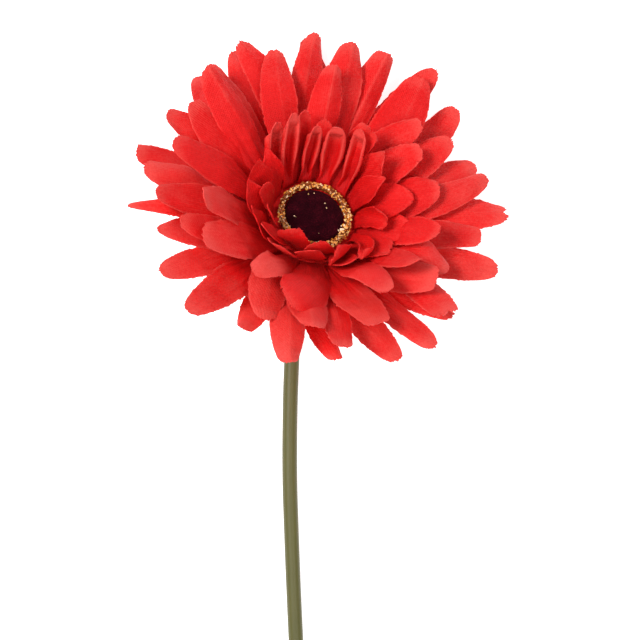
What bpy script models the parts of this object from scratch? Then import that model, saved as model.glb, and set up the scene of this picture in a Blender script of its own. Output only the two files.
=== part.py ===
"""Artificial gerbera: a fabric flower head on a wired plastic stem, lying on a surface.

Lengths below are in millimetres and angles in degrees. +Z is up and the surface is z = 0. The stem runs
along Y with its cut end at -Y, and its neck turns up into the calyx, so the flower's face looks up and
leans towards +X +Y. The head is modelled about its own axis, +Z, with its lowest fabric layer at z = 0,
and is then tilted and placed as a whole.
"""

import math
from collections import namedtuple

import bmesh
import bpy
from mathutils import Matrix, Vector

MM = 0.001

# The head: where the lowest layer's centre lies, how far its axis leans from upright, and towards where.
HEAD_CENTRE = Vector((-3.75, 167.05, 20.7))
HEAD_TILT = 31.0
HEAD_BEARING = 61.0

FABRIC = 0.6  # thickness of a pressed fabric layer
LAYER_PITCH = 0.9  # from one layer's hub to the next, which leaves 0.3 between them
PIN_HOLE = 1.7  # radius of the hole punched in each layer

# The stem's route from its cut end to the neck: x and y from the head's centre, lift off the surface.
STEM_ROUTE = [
    (3.4, -392.5, 0.0),
    (4.0, -350.0, 0.0),
    (3.3, -290.0, 0.0),
    (1.2, -225.0, 0.0),
    (-1.6, -170.0, 0.0),
    (-4.1, -126.0, 0.0),
    (-5.6, -90.0, 0.0),
    (-6.0, -71.0, 0.0),
    (-5.8, -53.0, 0.0),
    (-5.3, -38.0, 0.05),
    (-5.2, -28.0, 0.25),
    (-5.2, -20.0, 1.35),
    (-4.5, -12.5, 4.2),
]
STEM_RADIUS = (2.05, 2.42)  # at the cut end and at the neck
STEM_SEAT = -6.0  # where the stem ends inside the calyx, on the head's axis
WIRE_RADIUS = 1.0
WIRE_HOLE = 1.35
WIRE_END = 3.0  # how far below the stem's top the wire stops

CALYX_TOP = -0.6
CALYX_BOTTOM = -11.5
CALYX_BRACTS = 14

PIN_RADIUS = 1.35
PIN_HEAD = 3.4
PIN_HEAD_THICKNESS = 0.9
PIN_FOOT = -5.2

PAD_RADIUS = 9.5
POLLEN_INNER = 9.8
POLLEN_OUTER = 11.9

# A petal: where its tip is, seen from the head's centre, as the bearing about the axis, the angle above
# the layer and the distance.
Petal = namedtuple("Petal", "bearing lift reach")
# A layer: its place in the stack, where its petals leave the flat hub, how steeply they start, half the
# petal's greatest width, its cupping (edges up is positive), the first petal's bearing on the hub, petals.
Layer = namedtuple("Layer", "name step hub_radius rise half_width cup first petals")

LAYERS = [
    Layer("petal_layer_1", 0, 15.6, 16.0, 6.3, -24.0, 83.0, [
        Petal(86, 12, 60.5),
        Petal(102, 3, 58.5),
        Petal(121, -5, 61.3),
        Petal(166, 13, 58.5),
        Petal(186, 14, 60.0),
        Petal(209, 13, 57.5),
        Petal(241, 12, 50.0),
        Petal(271, 12, 51.0),
        Petal(291, 12, 54.0),
        Petal(320, 11, 52.0),
        Petal(345, 10, 58.6),
        Petal(1, 13, 60.5),
        Petal(37, 9, 61.5),
        Petal(52, 17, 63.4),
    ]),
    Layer("petal_layer_2", 1, 15.1, 26.0, 6.3, -22.0, 95.0, [
        Petal(89, 14, 61.0),
        Petal(112, 6, 60.0),
        Petal(152, 17, 55.3),
        Petal(171, 14, 55.5),
        Petal(195, 15, 53.5),
        Petal(223, 15, 60.0),
        Petal(255, 19, 60.5),
        Petal(272, 24, 56.5),
        Petal(302, 16, 57.5),
        Petal(310, 22, 55.5),
        Petal(351, 15, 52.0),
        Petal(20, 12, 55.3),
        Petal(50, 20, 58.0),
        Petal(68, 21, 59.0),
    ]),
    Layer("petal_layer_3", 2, 14.6, 36.0, 6.2, -20.0, 78.0, [
        Petal(78, 22, 58.0),
        Petal(110, 13, 60.7),
        Petal(127, 17, 57.2),
        Petal(144, 23, 52.7),
        Petal(182, 18, 53.6),
        Petal(195, 23, 50.2),
        Petal(245, 19, 47.5),
        Petal(260, 29, 53.0),
        Petal(287, 26, 50.0),
        Petal(320, 28, 47.0),
        Petal(332, 19, 45.0),
        Petal(12, 17, 56.0),
        Petal(30, 20, 51.0),
        Petal(40, 28, 46.2),
    ]),
    Layer("petal_layer_4", 3, 14.1, 46.0, 6.0, -18.0, 87.0, [
        Petal(85, 33, 49.0),
        Petal(104, 17, 55.0),
        Petal(133, 25, 56.8),
        Petal(165, 25, 53.0),
        Petal(192, 35, 48.5),
        Petal(205, 28, 48.0),
        Petal(235, 30, 43.0),
        Petal(252, 37, 42.0),
        Petal(294, 34, 45.0),
        Petal(315, 38, 44.0),
        Petal(341, 33, 42.0),
        Petal(10, 26, 41.2),
        Petal(29, 31, 41.2),
        Petal(57, 43, 41.0),
    ]),
    Layer("petal_layer_5", 4, 13.4, 58.0, 3.9, 46.0, 112.0, [
        Petal(112, 46, 36),
        Petal(131, 46, 36),
        Petal(163, 47, 34),
        Petal(188, 45, 34),
        Petal(213, 46, 33),
        Petal(239, 50, 33),
        Petal(264, 47, 33),
        Petal(292, 46, 34),
        Petal(318, 50, 31),
        Petal(343, 49, 31),
        Petal(8, 50, 31),
        Petal(34, 48, 33),
        Petal(60, 48, 35),
        Petal(85, 46, 34),
    ]),
    Layer("petal_layer_6", 5, 12.4, 70.0, 3.2, 44.0, 99.0, [
        Petal(99, 50, 32),
        Petal(125, 51, 31),
        Petal(150, 52, 30),
        Petal(176, 53, 29),
        Petal(202, 54, 28),
        Petal(227, 56, 28),
        Petal(253, 54, 28),
        Petal(279, 54, 28),
        Petal(305, 53, 29),
        Petal(330, 53, 29),
        Petal(356, 53, 29),
        Petal(22, 52, 30),
        Petal(45, 54, 31),
        Petal(71, 52, 32),
    ]),
]
LARGE_GRID = (6, 3)  # steps along and across a large petal
SMALL_GRID = (5, 3)
SMALL_REACH = 40.0
CLAW_SHARE = 0.80  # how much of the hub's edge the petals' feet take up

RED = (0.80, 0.03, 0.03)
MAROON = (0.05, 0.002, 0.006)
GOLD = (0.75, 0.35, 0.10)
GREEN = (0.18, 0.17, 0.06)
PALE = (0.80, 0.80, 0.76)
STEEL = (0.55, 0.55, 0.56)


def material(name, colour, roughness, metallic=0.0):
    mat = bpy.data.materials.new(name)
    mat.use_nodes = True
    shader = mat.node_tree.nodes["Principled BSDF"]
    shader.inputs["Base Color"].default_value = (*colour, 1.0)
    shader.inputs["Roughness"].default_value = roughness
    shader.inputs["Metallic"].default_value = metallic
    return mat


def collection(name):
    found = bpy.data.collections.new(name)
    bpy.context.scene.collection.children.link(found)
    return found


def add_object(name, data, group, mat=None, parent=None):
    piece = bpy.data.objects.new(name, data)
    group.objects.link(piece)
    piece.parent = parent
    if mat:
        data.materials.append(mat)
    return piece


def mesh_of(bm, name):
    mesh = bpy.data.meshes.new(name)
    bm.to_mesh(mesh)
    bm.free()
    mesh.shade_smooth()
    mesh.set_sharp_from_angle(angle=math.radians(40))
    return mesh


def head_direction():
    lean, bearing = math.radians(HEAD_TILT), math.radians(HEAD_BEARING)
    return Vector((math.sin(lean) * math.cos(bearing), math.sin(lean) * math.sin(bearing), math.cos(lean)))


def polar(bearing, lift, distance=1.0):
    """The point at a bearing about the axis, an angle above the layer and a distance."""
    turn, rise = math.radians(bearing), math.radians(lift)
    level = math.cos(rise)
    return distance * Vector((level * math.cos(turn), level * math.sin(turn), math.sin(rise)))


# --- The stem ---------------------------------------------------------------------------------------


def through(points, steps):
    """Points on a smooth curve through the given ones (Catmull-Rom), with that many steps between two."""
    ends = [2 * points[0] - points[1], *points, 2 * points[-1] - points[-2]]
    found = []
    for a, b, c, d in zip(ends, ends[1:], ends[2:], ends[3:]):
        for i in range(steps):
            t = i / steps
            curve = 2 * b + (c - a) * t + (2 * a - 5 * b + 4 * c - d) * t**2 + (3 * b - a - 3 * c + d) * t**3
            found.append(0.5 * curve)
    return [*found, points[-1]]


def stem_radius(y):
    """The stem's radius, thickening evenly from the cut end to the neck; y is from the head's centre."""
    low, high = STEM_RADIUS
    cut_end = STEM_ROUTE[0][1]
    return low + (high - low) * (y - cut_end) / -cut_end


def stem_line():
    axis = head_direction()
    laid = []
    for x, y, lift in STEM_ROUTE:
        laid.append(Vector((HEAD_CENTRE.x + x, HEAD_CENTRE.y + y, stem_radius(y) + lift)))
    return through([*laid, HEAD_CENTRE + axis * CALYX_BOTTOM, HEAD_CENTRE + axis * STEM_SEAT], 2)


def tube_mesh(name, line, radii):
    """A round bar along a line, as one closed mesh."""
    curve = bpy.data.curves.new(name, "CURVE")
    curve.dimensions = "3D"
    curve.bevel_depth = MM
    curve.bevel_resolution = 2
    curve.use_fill_caps = True
    spline = curve.splines.new("POLY")
    spline.points.add(len(line) - 1)
    for point, place, radius in zip(spline.points, line, radii):
        point.co = (*(place * MM), 1.0)
        point.radius = radius
    holder = bpy.data.objects.new(name, curve)
    bpy.context.scene.collection.objects.link(holder)
    mesh = bpy.data.meshes.new_from_object(holder.evaluated_get(bpy.context.evaluated_depsgraph_get()))
    bpy.data.objects.remove(holder)
    bpy.data.curves.remove(curve)
    bm = bmesh.new()
    bm.from_mesh(mesh)
    bmesh.ops.remove_doubles(bm, verts=bm.verts, dist=0.01 * MM)
    bmesh.ops.recalc_face_normals(bm, faces=bm.faces)
    bpy.data.meshes.remove(mesh)
    return mesh_of(bm, name)


def build_stem(parts, cutters):
    line = stem_line()
    radii = [stem_radius(point.y - HEAD_CENTRE.y) for point in line]
    sleeve_mesh = tube_mesh("stem_sleeve", line, radii)
    sleeve = add_object("stem_sleeve", sleeve_mesh, parts, material("stem", GREEN, 0.5))
    before, after = line[0] - (line[1] - line[0]) * 0.1, line[-1] + (line[-1] - line[-2]) * 0.5
    bore_line = [before, *line, after]
    bore = add_object("wire_bore", tube_mesh("wire_bore", bore_line, [WIRE_HOLE] * len(bore_line)), cutters)
    bore.hide_render = True
    bore.display_type = "WIRE"
    cut = sleeve.modifiers.new("bore", "BOOLEAN")
    cut.operation = "DIFFERENCE"
    cut.object = bore
    axis = head_direction()
    wire_line = [*line[:-1], line[-1] - axis * WIRE_END]
    wire = tube_mesh("stem_wire", wire_line, [WIRE_RADIUS] * len(wire_line))
    add_object("stem_wire", wire, parts, material("wire", STEEL, 0.4, 1.0))


# --- The calyx, the pin and the centre, turned about the head's axis ---------------------------------


def turned(name, profile, group, mat, parent, steps):
    """A solid turned about +Z from a closed profile of (radius, height), given down its outer side first."""
    bm = bmesh.new()
    corners = [bm.verts.new((radius * MM, 0.0, height * MM)) for radius, height in profile]
    for a, b in zip(corners, corners[1:] + corners[:1]):
        if a.co.x > 0.0 or b.co.x > 0.0:
            bm.edges.new((a, b))
    mesh = bpy.data.meshes.new(name)
    bm.to_mesh(mesh)
    bm.free()
    piece = add_object(name, mesh, group, mat, parent)
    screw = piece.modifiers.new("turn", "SCREW")
    screw.steps = screw.render_steps = steps
    screw.use_merge_vertices = True
    screw.merge_threshold = 0.00001
    screw.use_smooth_shade = True
    return piece


def build_calyx(parts, head, mat):
    """A moulded cup whose rim ends in pointed bracts: rings of a profile, wavy towards the rim."""
    socket, throat = STEM_RADIUS[1] + 0.5, PIN_RADIUS + 0.35
    outer = [
        (3.6, CALYX_BOTTOM, 0.0),
        (4.1, -10.4, 0.0),
        (5.2, -8.0, 0.0),
        (7.0, -5.0, 0.15),
        (8.9, -2.6, 0.55),
        (10.4, CALYX_TOP - 0.9, 1.0),
    ]
    inner = [
        (10.0, CALYX_TOP, 1.0),
        (8.0, CALYX_TOP, 0.0),
        (throat, CALYX_TOP, 0.0),
        (throat, STEM_SEAT + 0.5, 0.0),
        (socket, STEM_SEAT + 0.5, 0.0),
        (socket, CALYX_BOTTOM, 0.0),
    ]
    bract_depth, spokes = 1.4, CALYX_BRACTS * 4
    bm = bmesh.new()
    rings = []
    for radius, height, share in outer + inner:
        ring = []
        for k in range(spokes):
            turn = 2 * math.pi * k / spokes
            point = abs(math.cos(CALYX_BRACTS * turn / 2))
            r = radius - share * bract_depth * (1 - point)
            ring.append(bm.verts.new((r * math.cos(turn) * MM, r * math.sin(turn) * MM, height * MM)))
        rings.append(ring)
    for low, high in zip(rings, rings[1:] + rings[:1]):
        for k in range(spokes):
            after = (k + 1) % spokes
            bm.faces.new((low[k], low[after], high[after], high[k]))
    bmesh.ops.recalc_face_normals(bm, faces=bm.faces)
    return add_object("calyx", mesh_of(bm, "calyx"), parts, mat, head)


def build_pin(parts, head, top):
    """The pin through every layer: its head clamps the uppermost one and carries the centre."""
    under = top + FABRIC / 2 + 0.3
    over = under + PIN_HEAD_THICKNESS
    profile = [
        (0.0, over),
        (PIN_HEAD - 0.4, over),
        (PIN_HEAD, over - 0.3),
        (PIN_HEAD, under),
        (PIN_RADIUS, under),
        (PIN_RADIUS, PIN_FOOT + 0.5),
        (PIN_RADIUS - 0.5, PIN_FOOT),
        (0.0, PIN_FOOT),
    ]
    turned("layer_pin", profile, parts, material("pin", PALE, 0.5), head, 16)
    return under


def build_centre(parts, head, under):
    """The flocked pad, hollowed below for the pin's head, and the ring of pollen grains around it."""
    recess = under + PIN_HEAD_THICKNESS + 0.3
    pad = [
        (0.0, under + 3.1),
        (4.5, under + 2.95),
        (7.6, under + 2.5),
        (PAD_RADIUS - 0.4, under + 1.8),
        (PAD_RADIUS, under + 1.1),
        (PAD_RADIUS - 0.3, under),
        (PIN_HEAD + 0.35, under),
        (PIN_HEAD + 0.35, recess),
        (0.0, recess),
    ]
    turned("centre_pad", pad, parts, material("flock", MAROON, 0.95), head, 28)
    middle, radius = (POLLEN_INNER + POLLEN_OUTER) / 2, (POLLEN_OUTER - POLLEN_INNER) / 2
    sides = 10
    ring = []
    for k in range(sides):
        turn = math.radians(90) - 2 * math.pi * k / sides
        ring.append((middle + radius * math.cos(turn), under + 1.45 + 1.45 * math.sin(turn)))
    turned("pollen_ring", ring, parts, material("pollen", GOLD, 0.8), head, 28)


# --- The fabric layers ------------------------------------------------------------------------------


def half_width_at(along):
    """The petal's half width as a share of its greatest: a narrow foot, widest at two thirds, a round tip."""
    widest, foot = 0.66, 0.42
    if along < widest:
        t = along / widest
        return foot + (1 - foot) * t * t * (3 - 2 * t)
    t = (along - widest) / (1 - widest)
    return (1 - t**1.7) ** 0.62


def petal_rows(layer, petal, foot_bearing, foot_half):
    """The petal's middle surface, as rows of points from its foot on the hub to its tip."""
    steps_along, steps_across = SMALL_GRID if petal.reach < SMALL_REACH else LARGE_GRID
    height = layer.step * LAYER_PITCH
    foot = polar(foot_bearing, 0.0, layer.hub_radius) + Vector((0.0, 0.0, height))
    tip = polar(petal.bearing, petal.lift, petal.reach)
    chord = tip - foot
    chord_lift = math.degrees(math.asin(chord.z / chord.length))
    chord_bearing = math.degrees(math.atan2(chord.y, chord.x))
    swing = (chord_bearing - foot_bearing + 180) % 360 - 180
    first_handle = foot + polar(foot_bearing, layer.rise, chord.length / 3)
    last_handle = tip - polar(chord_bearing + swing, 2 * chord_lift - layer.rise, chord.length / 3)
    rows = []
    for i in range(1, steps_along + 1):
        s = 0.97 * (i / steps_along) ** 0.9
        t = 1 - s
        place = t**3 * foot + 3 * t * t * s * first_handle + 3 * t * s * s * last_handle + s**3 * tip
        ahead = t * t * (first_handle - foot) + 2 * t * s * (last_handle - first_handle)
        ahead = (ahead + s * s * (tip - last_handle)).normalized()
        side = Vector((0.0, 0.0, 1.0)).cross(ahead).normalized()
        up = ahead.cross(side)
        half = max(layer.half_width * half_width_at(s), foot_half * t)
        bend = math.radians(layer.cup) * min(1.0, 2.5 * s)
        row = []
        for k in range(steps_across + 1):
            across = 2 * k / steps_across - 1
            angle = bend * across
            shift = side * (half * math.sin(angle) / bend) + up * (half * (1 - math.cos(angle)) / bend)
            row.append(place + shift)
        rows.append(row)
    return rows


def build_layer(layer, parts, head, mat):
    """A die-cut layer: a flat hub with a punched hole, its petals pressed up, thickened to the fabric."""
    count = len(layer.petals)
    steps_across = LARGE_GRID[1]
    share = 360 / count * CLAW_SHARE
    foot_half = layer.hub_radius * math.radians(share) / 2
    height = layer.step * LAYER_PITCH
    bm = bmesh.new()

    def corner(point):
        return bm.verts.new(point * MM)

    inner, outer = [], []
    for i, petal in enumerate(layer.petals):
        foot_bearing = layer.first + i * 360 / count
        foot = []
        for k in range(steps_across + 1):
            bearing = foot_bearing + share * (k / steps_across - 0.5)
            raised = Vector((0.0, 0.0, height))
            foot.append(corner(polar(bearing, 0.0, layer.hub_radius) + raised))
            inner.append(corner(polar(bearing, 0.0, PIN_HOLE) + raised))
        outer += foot
        below = foot
        for points in petal_rows(layer, petal, foot_bearing, foot_half):
            above = [corner(point) for point in points]
            for k in range(steps_across):
                bm.faces.new((below[k], below[k + 1], above[k + 1], above[k]))
            below = above
    for k in range(len(outer)):
        after = (k + 1) % len(outer)
        bm.faces.new((inner[k], inner[after], outer[after], outer[k]))
    bmesh.ops.recalc_face_normals(bm, faces=bm.faces)
    piece = add_object(layer.name, mesh_of(bm, layer.name), parts, mat, head)
    shell = piece.modifiers.new("fabric", "SOLIDIFY")
    shell.thickness = FABRIC * MM
    shell.offset = 0.0
    return piece


def main():
    for old in list(bpy.data.objects):
        bpy.data.objects.remove(old)
    parts, cutters = collection("gerbera"), collection("cutters")
    head = bpy.data.objects.new("head", None)
    parts.objects.link(head)
    lean_axis = Vector((-math.sin(math.radians(HEAD_BEARING)), math.cos(math.radians(HEAD_BEARING)), 0.0))
    turn = Matrix.Rotation(math.radians(HEAD_TILT), 4, lean_axis)
    head.matrix_world = Matrix.Translation(HEAD_CENTRE * MM) @ turn
    build_stem(parts, cutters)
    build_calyx(parts, head, material("calyx", GREEN, 0.6))
    fabric = material("fabric", RED, 0.8)
    for layer in LAYERS:
        build_layer(layer, parts, head, fabric)
    under = build_pin(parts, head, LAYERS[-1].step * LAYER_PITCH)
    build_centre(parts, head, under)


main()
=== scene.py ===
"""The looks of the artificial gerbera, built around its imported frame.

The flower head is modelled about its own axis, +Z, with its lowest fabric layer at z = 0, and is then tilted
and placed as a whole. The stem lies on the surface along Y. Lengths are in millimetres and angles in degrees,
unless a name or comment says otherwise. Both sides of every petal, the weave, the pressed grooves, the frayed
edges, the flock and the pollen crumbs are made here.
"""

import math
import random
from collections import namedtuple

import bmesh
import bpy
import numpy as np
from mathutils import Matrix, Vector, noise

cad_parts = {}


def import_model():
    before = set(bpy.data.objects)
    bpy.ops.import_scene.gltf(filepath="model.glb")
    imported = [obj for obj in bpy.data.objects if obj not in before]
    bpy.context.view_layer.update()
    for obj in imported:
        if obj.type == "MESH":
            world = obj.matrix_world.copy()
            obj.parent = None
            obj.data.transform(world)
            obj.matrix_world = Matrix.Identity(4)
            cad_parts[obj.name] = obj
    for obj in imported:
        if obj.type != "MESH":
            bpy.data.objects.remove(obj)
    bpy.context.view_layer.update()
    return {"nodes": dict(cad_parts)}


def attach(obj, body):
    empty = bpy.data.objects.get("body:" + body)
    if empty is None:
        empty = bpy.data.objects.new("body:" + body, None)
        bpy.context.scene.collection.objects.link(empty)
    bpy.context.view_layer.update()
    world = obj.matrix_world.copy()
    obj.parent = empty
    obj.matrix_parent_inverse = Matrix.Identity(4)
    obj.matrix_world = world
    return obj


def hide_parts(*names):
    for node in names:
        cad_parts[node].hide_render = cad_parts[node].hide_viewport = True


MM = 0.001
SEED = 7

# --- Where things are: the same driving dimensions as the frame's ------------------------------------

HEAD_CENTRE = Vector((-3.75, 167.05, 20.7))  # the lowest layer's centre
HEAD_TILT = 31.0  # how far the head's axis leans from upright
HEAD_BEARING = 61.0  # and towards where
LAYER_PITCH = 0.9  # from one layer to the next
PIN_HOLE = 1.7  # radius of the hole punched in each layer
CLAW_SHARE = 0.80  # how much of the hub's edge the petals' feet take up
FABRIC = 0.28  # the cloth's thickness

# The stem's route from its cut end to the neck: x and y from the head's centre, lift off the surface.
STEM_ROUTE = [
    (3.4, -392.5, 0.0),
    (4.0, -350.0, 0.0),
    (3.3, -290.0, 0.0),
    (1.2, -225.0, 0.0),
    (-1.6, -170.0, 0.0),
    (-4.1, -126.0, 0.0),
    (-5.6, -90.0, 0.0),
    (-6.0, -71.0, 0.0),
    (-5.8, -53.0, 0.0),
    (-5.3, -38.0, 0.05),
    (-5.2, -28.0, 0.25),
    (-5.2, -20.0, 1.35),
    (-4.5, -12.5, 4.2),
]
STEM_RADIUS = (2.05, 2.42)  # at the cut end and at the neck
STEM_SIDES = 40
STEM_STEPS = 16  # from one point of the route to the next
STEM_SKIN = 0.06  # how far the sleeve's surface stays inside the frame's
STEM_SEAT = -6.0  # height of the stem's end in the calyx
WIRE_HOLE = 1.35  # radius of the sleeve's bore
MOULD_SEAM = (2.2, 0.10, 0.05)  # where it runs round the sleeve and how wide it is (radians), height

CALYX_TOP = -0.6  # height of its upper face in the head
CALYX_BOTTOM = -11.5  # height of its lower end
CALYX_BRACTS = 14  # in each row
CALYX_THROAT = 1.7  # radius of the bore round the pin
CALYX_SOCKET = STEM_RADIUS[1] + 0.5  # radius of the bore round the stem
# Radius, height, and how much of the bracts' full shape there is: up the outside, then down the inside.
CALYX_OUTSIDE = [
    (3.6, CALYX_BOTTOM, 0.0),
    (3.75, -11.0, 0.0),
    (4.1, -10.4, 0.0),
    (4.6, -9.2, 0.1),
    (5.2, -8.0, 0.2),
    (6.1, -6.4, 0.3),
    (7.0, -5.0, 0.45),
    (8.0, -3.7, 0.6),
    (8.9, -2.6, 0.75),
    (9.7, -1.9, 0.9),
    (10.4, CALYX_TOP - 0.7, 1.0),
]
CALYX_INSIDE = [
    (10.1, CALYX_TOP - 0.15, 1.0),
    (8.0, CALYX_TOP, 0.0),
    (CALYX_THROAT, CALYX_TOP, 0.0),
    (CALYX_THROAT, STEM_SEAT + 0.5, 0.0),
    (CALYX_SOCKET, STEM_SEAT + 0.5, 0.0),
    (CALYX_SOCKET, CALYX_BOTTOM, 0.0),
]
LOWER_BRACTS = -7.6  # height of the middle of the lower row

CENTRE_UNDER = 5.1  # height of the pad's underside in the head
PAD_RADIUS = 9.5
PAD_RIM = 0.05  # height of the rim's lower edge over the underside
PAD_TOP = 3.0  # height of the middle of its top over the underside
# The pad's radius and height over its underside, from its middle to its rim, before the pile is added.
PAD_PROFILE = [
    (0.0, 3.1),
    (4.5, 2.95),
    (7.6, 2.5),
    (PAD_RADIUS - 0.4, 1.8),
    (PAD_RADIUS, 1.1),
    (PAD_RADIUS - 0.3, PAD_RIM),
]
PAD_SHARE = 0.95  # the flocked pad is this much as wide as the frame's
PAD_RECESS = (3.75, 1.2)  # radius and height of the hollow over the pin's head
POLLEN_MIDDLE = 10.3  # 0.55 inside the frame's ring, as the pad is narrower
POLLEN_RADIUS = 1.05  # half the ring's thickness
POLLEN_LIFT = 1.45  # height of the ring's middle over the pad's underside
CRUMBS = 1150
SPECKS = 7  # crumbs that have strayed onto the pad
# The largest crumbs, all on one side: bearing (radians), distance from the axis, size.
BEADS = [(-0.52, 9.2, 0.62), (-0.40, 8.6, 0.36), (-0.62, 8.5, 0.34), (-0.33, 9.4, 0.42)]

# --- The petals --------------------------------------------------------------------------------------

# A tip's outline: half its width as a share of the petal's, its depth as a share of the length, how square
# it is (2 is an ellipse), and the depth of a notch.
Tip = namedtuple("Tip", "width depth square notch")
TIPS = {
    "round": Tip(0.60, 0.090, 2.0, 0.0),
    "blunt": Tip(0.68, 0.065, 2.3, 0.0),
    "point": Tip(0.48, 0.120, 1.75, 0.0),
    "sharp": Tip(0.40, 0.190, 1.45, 0.0),
    "notched": Tip(0.56, 0.080, 1.8, 0.035),
    "frayed": Tip(0.78, 0.045, 2.4, 0.02),
    "spoon": Tip(0.78, 0.150, 2.0, 0.0),
    "lip": Tip(0.84, 0.100, 2.3, 0.0),
}

# A petal: where its tip is, seen from the head's centre, as the bearing about the axis, the angle above the
# layer and the distance. Then its own looks: its tip, width (as a share), how much more it is cupped, rolled
# about its length and curled up at its end (degrees), the height of a fold along its middle (mm), how far
# its end bends sideways (mm) and how much painted light it gets all over (painted shade where below 0).
Petal = namedtuple(
    "Petal",
    "bearing lift reach tip width cup roll curl fold skew rub",
    defaults=("round", 1.0, 0.0, 0.0, 0.0, 0.0, 0.0, 0.0),
)
# A layer: its name, its place in the stack, the radius where its petals leave the flat hub, how steeply they
# start, half their greatest width, their cupping (edges up is positive), the depth of their spoon-like
# groove, the first petal's bearing on the hub, and the petals.
Layer = namedtuple("Layer", "name step hub_radius rise half_width cup groove first petals")

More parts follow.
